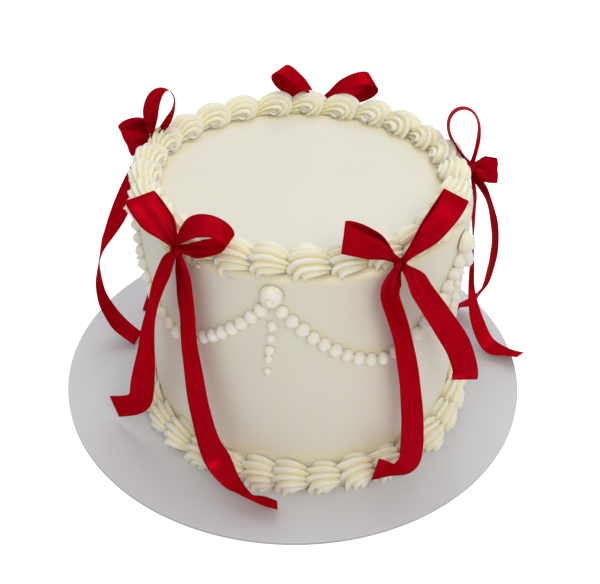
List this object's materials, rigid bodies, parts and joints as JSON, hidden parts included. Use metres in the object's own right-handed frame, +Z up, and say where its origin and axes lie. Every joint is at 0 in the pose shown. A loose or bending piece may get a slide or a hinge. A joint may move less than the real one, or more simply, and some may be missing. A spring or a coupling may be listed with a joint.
{
  "type": "cake on stand",
  "caption": "Small round cream cake on a flat white cake board, with piped shell borders, pearl swags, rosettes and red satin ribbon bows.",
  "frame": {"origin": "centre of the board's underside", "axes": "+Z up, -Y towards the side that is shown, +X to the right of it"},
  "size_m": [0.2558, 0.25, 0.1545],
  "materials": {
    "board_card": "coated white card, softly shiny",
    "icing": "smooth ivory butter cream with faint marks of the scraper",
    "piping": "piped ivory butter cream, yellow in its creases",
    "satin": "crimson satin ribbon"
  },
  "bodies": {
    "root": {"board": "board_card", "cake": "icing", "top_border": "piping", "foot_border": "piping", "rosette_1": "piping", "rosette_2": "piping", "rosette_3": "piping", "rosette_4": "piping", "rosette_5": "piping", "swag_1": "piping", "swag_2": "piping", "swag_3": "piping", "swag_4": "piping", "swag_5": "piping", "bow_front_left": "satin", "bow_front_right": "satin", "bow_right_back": "satin", "bow_back": "satin", "bow_left_back": "satin"}
  },
  "joints": []
}
